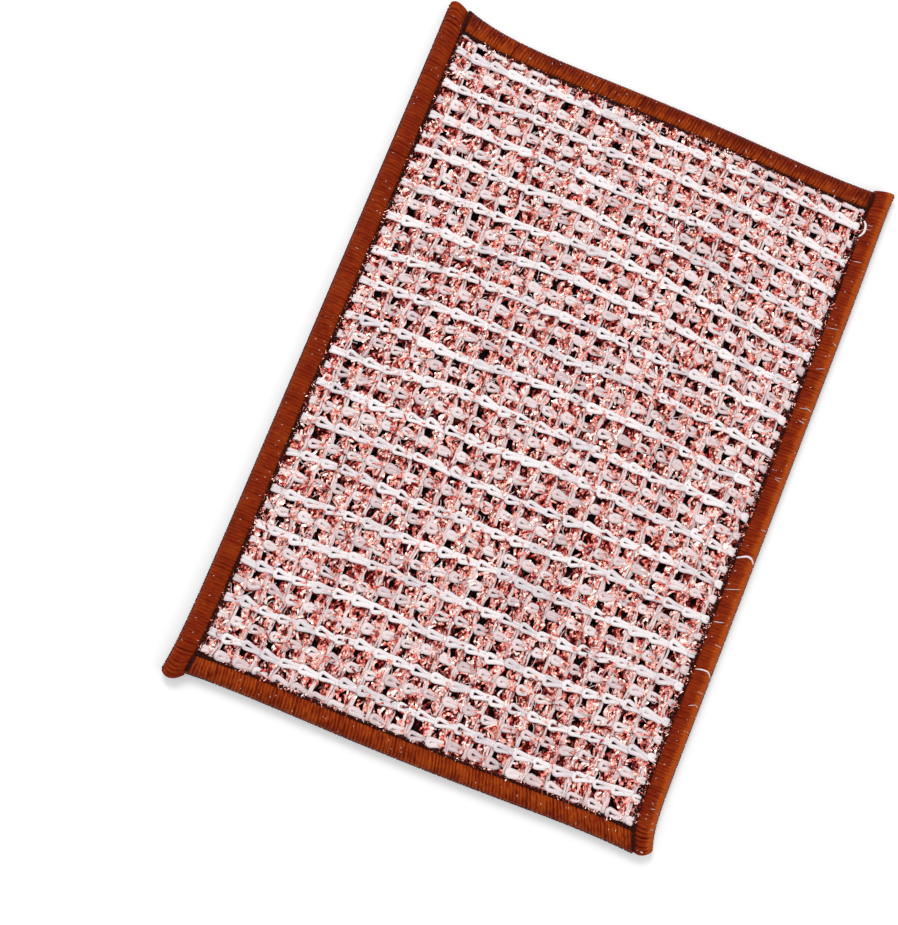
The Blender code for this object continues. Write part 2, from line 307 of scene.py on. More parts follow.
class Finish:
    """A Principled material and short ways to add the nodes that drive it."""

    def __init__(self, name):
        self.made = bpy.data.materials.new(name)
        self.made.use_nodes = True
        self.tree = self.made.node_tree
        self.shader = self.tree.nodes["Principled BSDF"]

    def node(self, kind, **values):
        made = self.tree.nodes.new("ShaderNode" + kind)
        for name, value in values.items():
            if name in made.inputs:
                made.inputs[name].default_value = value
            else:
                setattr(made, name, value)
        return made

    def link(self, output, target):
        self.tree.links.new(output, target)

    def ramp(self, source, stops):
        """A colour ramp from (place, colour) stops."""
        made = self.node("ValToRGB")
        elements = made.color_ramp.elements
        while len(elements) < len(stops):
            elements.new(0.5)
        for element, (place, colour) in zip(elements, stops):
            element.position = place
            element.color = (*colour, 1)
        self.link(source, made.inputs["Fac"])
        return made.outputs["Color"]

    def tone(self):
        return self.node("Attribute", attribute_name="tone").outputs["Fac"]

    def noise(self, vector, scale, detail):
        made = self.node("TexNoise", Scale=scale, Detail=detail)
        self.link(vector, made.inputs["Vector"])
        return made.outputs["Fac"]

    def fibres(self, along, around):
        """Noise drawn out along the strands, with these counts for a millimetre along and a turn around."""
        place = self.node("UVMap", uv_map="strand")
        stretch = self.node("Mapping", Scale=(along, around, 1))
        self.link(place.outputs["UV"], stretch.inputs["Vector"])
        return self.noise(stretch.outputs["Vector"], 1.0, 2.0)

    def painted_highlight(self):
        """A painted highlight: 1 along the outer side of a strand, 0 at its flanks, from its UV map."""
        place = self.node("UVMap", uv_map="strand")
        parts = self.node("SeparateXYZ")
        self.link(place.outputs["UV"], parts.inputs["Vector"])
        return self.ramp(parts.outputs["Y"], [(0.1, (0, 0, 0)), (0.25, (1, 1, 1)), (0.4, (0, 0, 0))])

    def speckle(self, cells, detail):
        """Noise in the object's own space, with this many cells a metre."""
        return self.noise(self.node("TexCoord").outputs["Object"], cells, detail)

    def add(self, first, second, share):
        """first with this share of second blended in, as numbers."""
        made = self.node("Mix", data_type="FLOAT")
        made.inputs[0].default_value = share
        self.link(first, made.inputs[2])
        self.link(second, made.inputs[3])
        return made.outputs[0]

    def patches(self, cells, detail, low, high):
        """0 and 1 in patches, from a speckle that turns between these two levels."""
        return self.ramp(self.speckle(cells, detail), [(low, (0, 0, 0)), (high, (1, 1, 1))])

    def bump(self, height, strength, distance):
        made = self.node("Bump", Strength=strength, Distance=distance)
        self.link(height, made.inputs["Height"])
        self.link(made.outputs["Normal"], self.shader.inputs["Normal"])

    def set(self, **values):
        for name, value in values.items():
            self.shader.inputs[name.replace("_", " ")].default_value = value

    def colour(self, output):
        self.link(output, self.shader.inputs["Base Color"])


def yarn_finish(name, dark, middle, light):
    """Satin multifilament yarn: fine lines along it, and shades that differ from strand to strand."""
    finish = Finish(name)
    fibres = finish.fibres(along=0.3, around=16.0)
    shade = finish.add(finish.tone(), fibres, share=0.6)
    finish.colour(finish.ramp(shade, [(0.3, dark), (0.5, middle), (0.7, light)]))
    finish.bump(fibres, strength=0.7, distance=0.00025)
    finish.set(Roughness=0.5, Specular_IOR_Level=0.35, Sheen_Weight=0.15, Sheen_Roughness=0.4)
    return finish.made


# Film colours: the maroon end is painted shade, the near-white end painted highlight, the salmon middle the
# film's own colour.
FILM_SHADE_TO_HIGHLIGHT = [
    (0.29, (0.09, 0.006, 0.008)),
    (0.38, (0.40, 0.042, 0.038)),
    (0.48, (0.86, 0.275, 0.215)),
    (0.59, (0.95, 0.52, 0.455)),
    (0.76, (0.99, 0.82, 0.785)),
]
# Painted shade: a darkened, maroon copy of the film's colours, for the film low in the net's holes.
SHADED_FILM = [(0.3, (0.05, 0.005, 0.006)), (0.5, (0.17, 0.016, 0.015)), (0.7, (0.50, 0.10, 0.08))]


def film_finish(name, stops):
    """Metallised film: creased, bright, and from maroon to pale salmon by strand, crease and patch. The salmon
    middle is its own colour; the maroon and near-white ends are painted shade and painted highlight.
    """
    finish = Finish(name)
    crease_shading = finish.fibres(along=1.4, around=0.6)
    shade = finish.add(finish.tone(), crease_shading, share=0.6)
    # The creases and patches darken and lighten the film's colour, as painted shade and painted highlight.
    shade = finish.add(shade, finish.patches(cells=520, detail=1.0, low=0.38, high=0.62), share=0.3)
    finish.colour(finish.ramp(shade, stops))
    finish.bump(crease_shading, strength=0.8, distance=0.0003)
    finish.set(Metallic=1.0, Roughness=0.32)
    return finish.made


def thread_finish(name, roughness, dark, middle, light):
    """Thread with fibres along it."""
    finish = Finish(name)
    fibres = finish.fibres(along=0.5, around=9.0)
    shade = finish.add(finish.tone(), fibres, share=0.4)
    finish.colour(finish.ramp(shade, [(0.2, dark), (0.5, middle), (0.8, light)]))
    finish.bump(fibres, strength=0.4, distance=0.0001)
    finish.set(Roughness=roughness, Specular_IOR_Level=0.06)
    return finish.made


def rust_finish(name, painted_highlight_share, *colours):
    """Bulked rust thread: short streaks, lighter and darker patches, and a painted highlight along each pass's
    outer side.
    """
    finish = Finish(name)
    fibres = finish.fibres(along=0.45, around=8.0)
    shade = finish.add(finish.tone(), fibres, share=0.75)
    shade = finish.add(shade, finish.patches(cells=190, detail=2.0, low=0.36, high=0.64), share=0.12)
    # Painted highlight: the tone is raised along each pass's outer side, where the light catches the ribs.
    shade = finish.add(shade, finish.painted_highlight(), painted_highlight_share)
    finish.colour(finish.ramp(shade, list(zip((0.28, 0.45, 0.62, 0.8), colours))))
    finish.bump(fibres, strength=0.5, distance=0.00015)
    finish.set(Roughness=0.6, Specular_IOR_Level=0.06)
    return finish.made


def matted_finish(name, cells, detail, dark, light, light_from, strength, distance, roughness, specular):
    """Matted fibres without a direction."""
    finish = Finish(name)
    fibres = finish.speckle(cells, detail)
    finish.colour(finish.ramp(fibres, [(0.3, dark), (light_from, light)]))
    finish.bump(fibres, strength, distance)
    finish.set(Roughness=roughness, Specular_IOR_Level=specular)
    return finish.made


# Net

LOOP_START = math.radians(28)
LOOP_HEAD_GAP = 0.55
LOOP_OVERLAP = 1.0
LOOP_SHARPNESS = 7
LEG_SLOPE = 0.5
TAIL_WIDTH = 0.76
HEAD_SHARPNESS = 8
HEAD_SQUEEZE = 0.15
# How much a loop strays at scatter 1: its tilt, place along the row, eye, place across and level
LOOP_STRAYS = np.array((0.07, 0.12, 0.15, 0.08, 0.06))
WIDTH_STRAY = 0.1
WIDER_SHARE = 0.6
END_LOOP_EYE = 0.35
END_LOOPS_FROM = 59.5
LOOPS_UNDER_SEAMS = 1.5
FACE_LOOP = {
    "eye_half": 0.5, "tail_half": 0.38, "head": 5.62, "tail": 5.34, "yarn": 0.76, "thickness": 0.32,
    "steps": 23, "sides": 9, "rise": 1.3, "scatter": 2.1, "shades": (0.25, 0.95),
}
BACK_LOOP = {
    "eye_half": 0.44, "tail_half": 0.34, "head": 5.3, "tail": 4.1, "yarn": 0.84, "thickness": 0.32,
    "steps": 17, "sides": 7, "rise": 0.8, "scatter": 2.4, "shades": (0.2, 0.85),
}


def weft_lines(count=WEFTS):
    """Where the wefts lie across the cloth, from the left."""
    return FIRST_WEFT + WEFT_PITCH * np.arange(count)


def chain_rows():
    """Where the bright chains lie along the cloth, from the bottom."""
    return CHAIN_PITCH * (np.arange(CHAIN_ROWS) - (CHAIN_ROWS - 1) / 2)


def back_rows():
    """Where the pale chains lie, between the bright ones and past the first and the last."""
    rows = chain_rows()
    return np.append(rows - CHAIN_PITCH / 2, rows[-1] + CHAIN_PITCH / 2)


def row_wander(x, phases):
    """How far a row strays from its straight line."""
    long, short = ROW_WANDER_LENGTHS
    return ROW_WANDER * (np.sin(x / long + phases[0]) + 0.5 * np.sin(x / short + phases[1]))


def loop_turns(loop):
    return np.linspace(LOOP_START, math.tau - LOOP_START, loop["steps"])


def chain_loops(rows, loop):
    """Centre lines of every loop in these chains: tail, one leg, round the head on the left, and back."""
    theta = loop_turns(loop)
    half = (WEFT_PITCH + LOOP_OVERLAP - LOOP_HEAD_GAP) / 2
    shape = np.sin(theta) * np.sin(theta / 2) ** LOOP_SHARPNESS
    legs = np.clip(np.sin(theta) / LEG_SLOPE, -1, 1)
    rise = ((1 - np.cos(theta)) / 2) ** loop["rise"]
    paths = []
    for row in rows:
        phases = rng.uniform(0, math.tau, 2)
        for weft in np.append(weft_lines()[0] - WEFT_PITCH, weft_lines()):
            tilt, ahead, wider, aside, up = LOOP_STRAYS * (loop["scatter"] * rng.uniform(-1, 1, 5))
            middle = weft + LOOP_HEAD_GAP + half + ahead
            eye = loop["eye_half"] * (1 + wider) * (END_LOOP_EYE if abs(middle) > END_LOOPS_FROM else 1)
            x = half * np.cos(theta)
            y = eye * shape / np.abs(shape).max() + loop["tail_half"] * legs + aside
            z = between(loop["tail"], loop["head"], rise) + up
            path = joined(middle + x - tilt * y, row + y + tilt * x, z)
            path[:, 1] += row_wander(path[:, 0], phases)
            paths.append(path)
    return np.array(paths)


def inside_seams(paths, margin):
    """The paths whose middle lies in the open field, or this far under the seams."""
    middle = paths.mean(axis=1)
    within = np.abs(middle[:, 0]) < HALF_WIDTH - SIDE_SEAM_WIDTH + margin
    return paths[within & (np.abs(middle[:, 1]) < HALF_LENGTH - END_SEAM_WIDTH + margin)]


def build_chains(name, rows, loop, material, *nodes):
    """Chains of interlocking loops, thin at their tails and squeezed round their heads."""
    paths = inside_seams(chain_loops(rows, loop), LOOPS_UNDER_SEAMS)
    strands = Strands()
    theta = loop_turns(loop)
    head = np.sin(theta / 2) ** HEAD_SHARPNESS
    stray = WIDTH_STRAY * loop["scatter"]
    widths = loop["yarn"] * between(TAIL_WIDTH, 1, np.sin(theta / 2) ** 2) * (1 - HEAD_SQUEEZE * head)
    widths = widths * rng.uniform(1 - stray, 1 + WIDER_SHARE * stray, (len(paths), 1))
    heights = loop["thickness"] * (1 + HEAD_SQUEEZE * head)
    tones = rng.uniform(*loop["shades"], len(paths))
    strands.tubes(netted(paths), widths, heights, loop["sides"], UP, tones)
    return strands.finish(name, material, "white_yarn", *nodes)


WEFT_STEP = 1.0
WEFT_HALF_WIDTH = 0.34
WEFT_HALF_THICKNESS = 0.14
WEFT_FILAMENTS_APART = 0.4
WEFT_LOW = 4.6
WEFT_HIGH = 5.1


def weftwise(step):
    """Places along a weft from end to end, about this far apart."""
    half = HALF_LENGTH - PLY_INSET
    return np.linspace(-1, 1, int(2 * half / step)) * half


def build_wefts(material):
    """White wefts, each three filaments, under the face chains and over the back chains."""
    y = weftwise(WEFT_STEP)
    over = (1 - np.cos(math.tau * (y / CHAIN_PITCH + CHAIN_ROWS / 2 - 0.5))) / 2
    strands = Strands()
    sway = noise(WEFTS, len(y), knots=40, reach=0.45)
    for side in (-1, 0, 1):
        wander = sway + noise(WEFTS, len(y), knots=90, reach=0.35)
        x = weft_lines()[:, None] + wander + side * WEFT_FILAMENTS_APART
        z = between(WEFT_LOW, WEFT_HIGH, over)[None] + noise(WEFTS, len(y), knots=60, reach=0.25)
        paths = netted(joined(x, y, z))
        strands.tubes(paths, WEFT_HALF_WIDTH, WEFT_HALF_THICKNESS, 5, UP, rng.uniform(0.2, 0.8, WEFTS))
    return strands.finish("white_wefts", material, "white_yarn")


COPPER_STRANDS = 12
COPPER_STEP = 0.5
COPPER_HALF_WIDTH = 0.36
COPPER_FROM_WEFT = 0.2
COPPER_SPREAD = 3.1
# The share of its spread that the film keeps under a chain, and of its drift
SPREAD_UNDER_CHAIN = 0.6
DRIFT_UNDER_CHAIN = 0.5
COPPER_LOW = 4.1
COPPER_HIGH = 5.05
CURLS = 10500
CURL_STEPS = 6
CURL_HALF_WIDTH = 0.28
CURL_LOW = 4.5
CURL_RISE = 0.95
CURL_ARCH = 0.1
# The first bends lie over the pale chains and the next over the bright ones: how many, how far they stray from
# the chains and how much higher they lie
PALE_CURLS = (2600, 0.9, 0.55)
BRIGHT_CURLS = (1300, 0.8, 0.9)
DEEP_STRANDS = 5
DEEP_LOW = 3.1
DEEP_HIGH = 3.8


def inlay_paths(place, drift_knots, level_knots):
    """Middle lines of one strand beside every weft, at this share of the way across the inlay."""
    y = weftwise(COPPER_STEP)
    cell = np.abs(np.sin(math.pi * (y / (CHAIN_PITCH / 2) + CHAIN_ROWS - 1)))
    lines = weft_lines(WEFTS + 1)
    size = (len(lines), len(y))
    fullness = 1 + noise(*size, knots=34, reach=0.7)
    spread = COPPER_SPREAD * place * between(SPREAD_UNDER_CHAIN, 1, cell) * fullness
    drift = noise(*size, drift_knots, reach=0.8) + noise(*size, 2 * drift_knots, reach=0.4)
    x = lines[:, None] + COPPER_FROM_WEFT - spread - drift * between(DRIFT_UNDER_CHAIN, 1, cell)
    z = between(COPPER_LOW, COPPER_HIGH, 0.5 + noise(*size, level_knots, reach=0.5))
    z = z + noise(*size, knots=300, reach=0.12)
    return joined(x, y, z)


def bent(x, y, heading, bend, length, steps):
    """Short bent lines in plan, from their start, the heading at their middle, their bend and their length."""
    turn = heading[:, None] + bend[:, None] * np.linspace(-0.5, 0.5, steps)
    step = length[:, None] / (steps - 1)
    x = x[:, None] + np.cumsum(np.cos(turn) * step, axis=1)
    return x, y[:, None] + np.cumsum(np.sin(turn) * step, axis=1)


def curl_paths():
    """Short stray bends of the film, every way round, over the inlays and the chains."""
    x = rng.choice(weft_lines(WEFTS + 1), CURLS)
    x = x - COPPER_SPREAD * rng.beta(1.3, 1.6, CURLS) + COPPER_FROM_WEFT
    y = rng.uniform(-1, 1, CURLS) * (HALF_LENGTH - END_HEM)
    heading = rng.uniform(0, math.tau, CURLS)
    bend = rng.normal(0, 1.1, CURLS)
    length = rng.uniform(0.8, 2.4, CURLS)
    arch = CURL_ARCH * np.cos(math.pi * np.linspace(-0.5, 0.5, CURL_STEPS))
    level = (CURL_LOW + CURL_RISE * rng.uniform(0, 1, CURLS) ** 1.5)[:, None] + arch[None]
    first = 0
    for rows, (count, stray, lift) in ((back_rows()[1:-1], PALE_CURLS), (chain_rows(), BRIGHT_CURLS)):
        lifted = slice(first, first + count)
        y[lifted] = rng.choice(rows, count) + rng.normal(0, stray, count)
        level[lifted] += lift
        first += count
    return joined(*bent(x, y, heading, bend, length, CURL_STEPS), level)


def build_copper(material):
    """Copper film yarns beside each weft: they bunch under the chains and spread out in the cells."""
    nodes = [f"copper_inlay_{number:02d}" for number in range(1, WEFTS + 1)]
    pieces = []
    for part in (1, 2):
        strands = Strands()
        for place in np.linspace(0, 1, COPPER_STRANDS)[part - 1::2]:
            paths = inlay_paths(place, drift_knots=90, level_knots=110)
            size = paths.shape[:2]
            roll = noise(*size, knots=150, reach=1.4) + noise(*size, knots=60, reach=0.8)
            width = COPPER_HALF_WIDTH * (1 + noise(*size, knots=80, reach=0.4))
            strands.ribbons(netted(paths), width, roll, UP, shades(0.5, 0.25, size[0]))
        pieces.append(strands.finish(f"copper_film_yarns_{part}", material, "copper_yarn", *nodes))
        nodes = []
    strands = Strands()
    paths = curl_paths()
    roll = noise(CURLS, CURL_STEPS, knots=2, reach=1.1)
    strands.ribbons(netted(paths), CURL_HALF_WIDTH, roll, UP, shades(0.52, 0.25, CURLS))
    pieces.append(strands.finish("copper_film_bends", material, "copper_yarn"))
    return pieces


def build_deep_film(material):
    """Film low in the net, which shows down in its holes, in a shaded copy of the film's colours: its dark maroon
    is painted shade.
    """
    strands = Strands()
    for place in np.linspace(0, WEFT_PITCH / COPPER_SPREAD, DEEP_STRANDS):
        paths = inlay_paths(place, drift_knots=60, level_knots=50)
        size = paths.shape[:2]
        paths[..., 2] = between(DEEP_LOW, DEEP_HIGH, 0.5 + noise(*size, knots=60, reach=0.5))
        roll = noise(*size, knots=90, reach=1.4)
        strands.ribbons(netted(paths), COPPER_HALF_WIDTH, roll, UP, rng.uniform(0, 1, size[0]))
    return strands.finish("copper_film_deep", material, "copper_yarn")


FILAMENTS = 2000
FILAMENTS_FROM_ROW = 0.75
FILAMENTS_ACROSS = 0.65
FILAMENT_STEPS = 6
FILAMENT_HALF_WIDTH = 0.085
FILAMENT_LEVEL = 5.35
FILAMENT_RISE = 0.65


def build_loose_filaments(material):
    """Single filaments strayed from the white yarns along the rows, most of them lying across."""
    x = rng.uniform(-1, 1, FILAMENTS) * (HALF_WIDTH - SIDE_HEM)
    rows = np.concatenate([chain_rows(), back_rows()[1:-1]])
    y = rng.choice(rows, FILAMENTS) + rng.normal(0, FILAMENTS_FROM_ROW, FILAMENTS)
    across = rng.uniform(0, 1, FILAMENTS) < FILAMENTS_ACROSS
    heading = np.where(across, math.pi / 2, 0) + rng.normal(0, 0.55, FILAMENTS)
    bend = rng.normal(0, 1.5, FILAMENTS)
    x, y = bent(x, y, heading, bend, rng.uniform(1.0, 3.4, FILAMENTS), FILAMENT_STEPS)
    from_row = np.abs(y[..., None] - chain_rows()).min(axis=-1)
    level = FILAMENT_LEVEL + FILAMENT_RISE * np.exp(-(from_row**2))
    level = level + rng.uniform(-0.25, 0.1, FILAMENTS)[:, None]
    strands = Strands()
    roll = noise(FILAMENTS, FILAMENT_STEPS, knots=2, reach=0.5)
    tones = shades(0.5, 0.25, FILAMENTS)
    strands.ribbons(netted(joined(x, y, level)), FILAMENT_HALF_WIDTH, roll, UP, tones)
    return strands.finish("loose_filaments", material, "white_yarn")


# Terry

PLY_UNDERSIDE = 1.1
PLY_CORNER_CUT = 4.0


def ply_outline(inset_x, inset_y, steps=60):
    """Points round a rectangle this far inside the cloth's edges, with its corners cut."""
    a = HALF_WIDTH - inset_x
    b = HALF_LENGTH - inset_y
    t = np.linspace(-1, 1, steps, endpoint=False)
    bottom = joined((a - PLY_CORNER_CUT) * t, -b)
    right = joined(a, (b - PLY_CORNER_CUT) * t)
    return np.concatenate([bottom, right, -bottom, -right])


def build_ply(material):
    """The terry's ground: a thin cloth, with its hem pressed between the seams."""
    hem_top = HEM_LIFT + PRESSED_TERRY
    rings = [
        (SIDE_HEM + HEM_SLOPE, END_HEM + HEM_SLOPE, PLY_UNDERSIDE),
        (SIDE_HEM, END_HEM, HEM_LIFT),
        (PLY_INSET, PLY_INSET, HEM_LIFT),
        (PLY_INSET, PLY_INSET, hem_top),
        (SIDE_HEM, END_HEM, hem_top),
        (SIDE_HEM + HEM_SLOPE, END_HEM + HEM_SLOPE, TERRY_THICKNESS),
    ]
    sections = [laid(joined(*ply_outline(inset_x, inset_y).T, z)) for inset_x, inset_y, z in rings]
    count = len(sections[0])
    faces = quads_between(1, len(rings), count, count)[0].tolist()
    faces.append(tuple(range(count))[::-1])
    faces.append(tuple(range((len(rings) - 1) * count, len(rings) * count)))
    mesh = plain_mesh("terry_ply", np.concatenate(sections), faces)
    return add_piece("terry_ply", mesh, material, "charcoal_terry", "terry_cloth")


PILE_PITCH_X = 2.5
PILE_PITCH_Y = 1.9
PILE_ROW_SLANT = 0.12
PILE_HALF_SPAN = 1.0
PILE_HALF_WIDTH = 1.08
PILE_HALF_THICKNESS = 0.7
PILE_STEPS = 5
PILE_ROOT = 1.5
PILE_FLOOR = 0.03
PILE_PAST_HEM = 0.7
PILE_INSET = 0.6
PILE_STRAY_X = 0.35
PILE_STRAY_Y = 0.28
# Rows past the ends, which the slant of the rows brings in
PILE_SPARE = 8
PILE_END = 0.45
PILE_ROUNDING = 0.7


def build_pile(material):
    """The loops of the terry's underside, in two halves: short fat arches in slanting rows."""
    a = HALF_WIDTH - SIDE_HEM + PILE_PAST_HEM
    b = HALF_LENGTH - END_HEM + PILE_PAST_HEM
    xs = np.arange(-a, a + PILE_PITCH_X, PILE_PITCH_X)
    ys = np.arange(-b - PILE_SPARE, b + PILE_SPARE, PILE_PITCH_Y)
    x, y = np.meshgrid(xs, ys)
    x = x + np.where(np.arange(len(ys)) % 2, PILE_PITCH_X / 2, 0)[:, None]
    y = y + PILE_ROW_SLANT * x
    x = (x + rng.uniform(-PILE_STRAY_X, PILE_STRAY_X, x.shape)).ravel()
    y = (y + rng.uniform(-PILE_STRAY_Y, PILE_STRAY_Y, y.shape)).ravel()
    inside = (np.abs(x) < a - PILE_INSET) & (np.abs(y) < b - PILE_INSET)
    return [
        build_pile_half(f"terry_pile_{part}", x[half], y[half], material)
        for part, half in enumerate((inside & (y < 0), inside & (y >= 0)), 1)
    ]


def build_pile_half(name, x, y, material):
    """Loops of the pile at these places."""
    count = len(x)
    swing = np.radians(rng.normal(-8, 24, count))
    size = rng.uniform(0.85, 1.15, (count, 1))
    t = np.linspace(0, math.pi, PILE_STEPS)
    along = -np.cos(t) * PILE_HALF_SPAN * size
    lean = rng.uniform(-0.3, 0.3, (count, 1)) * np.sin(t)
    lowest = PILE_HALF_THICKNESS * size + PILE_FLOOR + rng.uniform(0, 0.15, (count, 1))
    path = joined(
        x[:, None] + along * np.cos(swing)[:, None] - lean * np.sin(swing)[:, None],
        y[:, None] + along * np.sin(swing)[:, None] + lean * np.cos(swing)[:, None],
        PILE_ROOT - (PILE_ROOT - lowest) * np.sin(t) ** PILE_ROUNDING,
    )
    strands = Strands()
    thin = between(PILE_END, 1, np.sin(t))
    across = joined(-np.sin(swing), np.cos(swing), 0)[:, None, :]
    tangent = unit(np.gradient(path, axis=1))
    hint = np.cross(np.broadcast_to(across, tangent.shape), tangent)
    widths = PILE_HALF_WIDTH * size * thin
    heights = PILE_HALF_THICKNESS * size * thin
    strands.tubes(laid(path), widths, heights, 6, hint, shades(0.5, 0.13, count))
    return strands.finish(name, material, "charcoal_terry")


# Overlock seams

# (distance in from the edge, height) of a rust pass's middle line, from the needle thread over the top and
# round the rim, and of a black pass's, from the rim along the underside
UPPER_PASS = [
    (6.0, 3.8), (5.85, 4.35), (5.2, 4.85), (4.1, 5.12), (3.0, 5.12), (1.9, 4.8), (1.0, 4.15),
    (0.45, 3.35), (0.26, 2.6), (0.28, 1.7), (0.65, 0.95), (1.3, 0.4), (1.9, 0.45),
]
LOWER_PASS = [
    (0.4, 2.7), (-0.06, 2.3), (0.08, 1.5), (0.55, 0.95), (1.3, 0.66),
    (2.4, 0.42), (3.8, 0.36), (5.0, 0.52), (5.9, 1.0),
]
PASS_STEPS = 15
PASS_HALF_THICKNESS = 0.26
UPPER_THREAD = {"line": UPPER_PASS, "pitch": 0.95, "slant": 1, "half_width": 0.7, "end_width": 0.35}
LOWER_THREAD = {"line": LOWER_PASS, "pitch": 0.72, "slant": -1, "half_width": 0.42, "end_width": 1}
# The share of a pass where its width starts to change to the end width, and the share that it changes over
PASS_END_FROM = 0.78
PASS_END_RUN = 0.15
PASS_INSET = 0.2
PASS_STRAY = 0.14
PASS_LIFT = 0.05
WIDTH_SCATTER = 0.2
SLANT_SCATTER = 0.1
SIDE_SLANT = 0.35
END_SLANT = 1.3
# The last stretch of a seam, where its passes straighten
END_STRAIGHTENING = 4.0
# What the seams across the ends leave free beside the side seams
END_SEAM_SHORT = 0.4
# Painted light and shade across each rust band: three distances in from the edge, and how much each side's tone
# is raised or lowered there, as the light falls on that band. Below the rim this fades between the two levels.
BAND_PAINTED_LIGHT_PLACES = (1.4, 3.0, 4.8)
BAND_PAINTED_LIGHT_LEVELS = (1.0, 3.6)
BAND_PAINTED_LIGHT_FADED = 0.3
BAND_PAINTED_LIGHT = {
    "left": (0.05, -0.1, 0.15),
    "right": (1.9, 0.05, -0.1),
    "top": (-0.55, -0.45, 0.2),
    "bottom": (-0.05, 0.0, 0.0),
}
SMOOTHINGS = 3


def eased(points, steps):
    """A smooth line through given points, evenly stepped."""
    points = np.array(points, float)
    for _ in range(SMOOTHINGS):
        middles = (points[:-1] + points[1:]) / 2
        cut = np.stack([points[:-1] + middles, points[1:] + middles], axis=1) / 2
        points = np.concatenate([points[:1], cut.reshape(-1, points.shape[1]), points[-1:]])
    step = np.linalg.norm(np.diff(points, axis=0), axis=1)
    length = np.concatenate([[0], np.cumsum(step)])
    places = np.linspace(0, length[-1], steps)
    return joined(*(np.interp(places, length, column) for column in points.T))


def seam_place(side, along, inward, z):
    """Points beside one edge of the flat pattern."""
    if side in LONG_SIDES:
        return joined(-HALF_WIDTH + inward if side == "left" else HALF_WIDTH - inward, along, z)
    return joined(along, HALF_LENGTH - inward if side == "top" else -HALF_LENGTH + inward, z)


def seam_run(side):
    """Half the length of a seam without its corner ears, and its width."""
    if side in LONG_SIDES:
        return HALF_LENGTH, SIDE_SEAM_WIDTH
    return HALF_WIDTH - SIDE_SEAM_WIDTH - END_SEAM_SHORT, END_SEAM_WIDTH


def places_along(side, short, step):
    """Places along a seam, about a step apart. Along the sides they end this much short."""
    run = seam_run(side)[0] - (short if side in LONG_SIDES else 0)
    return np.linspace(-run, run, int(2 * run / step))


def side_ears(side):
    """The ears at a side seam's low and high ends. The seams across the ends have none."""
    if side in LONG_SIDES:
        first = LONG_SIDES.index(side)
        return EARS[first], EARS[first + 2]
    return NO_EAR, NO_EAR


def seam_ends(side, inset):
    """Where a seam with its ears starts and ends, this far inside its tips."""
    run = seam_run(side)[0]
    (low, *_), (high, *_) = side_ears(side)
    return -run - low + inset, run + high - inset


def pass_paths(side, thread):
    """Middle lines of a looper thread's passes along one seam."""
    width = seam_run(side)[1]
    slant = SIDE_SLANT if side in LONG_SIDES else END_SLANT
    inward, z = eased(thread["line"], PASS_STEPS).T
    low, high = seam_ends(side, PASS_INSET)
    count = int((high - low) / thread["pitch"])
    start = np.linspace(low, high, count) + rng.uniform(-PASS_STRAY, PASS_STRAY, count) * thread["pitch"]
    slants = thread["slant"] * slant * (1 + rng.uniform(-SLANT_SCATTER, SLANT_SCATTER, count)[:, None])
    lift = rng.uniform(-PASS_LIFT, PASS_LIFT, (count, 1)) * np.sin(np.linspace(0, math.pi, PASS_STEPS))
    return eared(side, start[:, None], inward * (width / SIDE_SEAM_WIDTH), z + lift, slants)


def eared(side, start, inward, z, slants):
    """Places beside an edge, with the passes slanted and the side seams' ends shaped into their ears."""
    run, width = seam_run(side)
    along = start
    slants = slants * np.clip((run - np.abs(start)) / END_STRAIGHTENING, 0, 1)
    if side in LONG_SIDES:
        for sign, (length, bulge, tip, tilt) in zip((-1, 1), side_ears(side)):
            from_end = run + length - sign * start
            from_tip = np.clip((inward - tip) / np.where(inward > tip, width - tip, tip), -1, 1)
            push = tilt * (inward / width - 0.5) + bulge * (1 - from_tip**2)
            along = along + sign * push * smoothstep(1 - from_end / EAR_BEND)
            closing = 1 - np.clip(1 - from_end / EAR_ROUNDING, 0, 1) ** 2
            z = EAR_LEVEL + (z - EAR_LEVEL) * np.sqrt(closing)
    return seam_place(side, along + slants * (0.5 - inward / width), inward, z)


def build_passes(kind, side, thread, material, slot):
    """One looper thread's passes along a seam, each a tube round its rim."""
    paths = laid(pass_paths(side, thread))
    along = np.array((0, 1, 0) if side in LONG_SIDES else (1, 0, 0), float)
    tangent = unit(np.gradient(paths, axis=1))
    outward = 1 if side in ("left", "top") else -1
    hint = outward * np.cross(np.broadcast_to(along, tangent.shape), tangent)
    strands = Strands()
    count = len(paths)
    end = smoothstep((np.linspace(0, 1, PASS_STEPS)[None] - PASS_END_FROM) / PASS_END_RUN)
    widths = thread["half_width"] * (1 + rng.uniform(-WIDTH_SCATTER, WIDTH_SCATTER, (count, 1)))
    widths = widths * between(1, thread["end_width"], end)
    tones = shades(0.5, 0.08, count)
    # Painted light and shade: each upper pass's tone is raised or lowered across the band, as the light falls on
    # it.
    if kind == "upper":
        inward, level = eased(UPPER_PASS, PASS_STEPS).T
        painted_light_gains = np.interp(inward, BAND_PAINTED_LIGHT_PLACES, BAND_PAINTED_LIGHT[side])
        tones = tones[:, None] + painted_light_gains * np.interp(level, BAND_PAINTED_LIGHT_LEVELS, (BAND_PAINTED_LIGHT_FADED, 1))
    strands.tubes(paths, widths, PASS_HALF_THICKNESS, 8, hint, tones)
    return strands.finish(f"{kind}_passes_{side}", material, slot, f"{kind}_looper_thread_{side}")


CORE_STEP = 1.0
CORE_INSET = 0.3
CORE_SHORT = 0.25
CORE_MIDDLE = (3.0, 2.6)


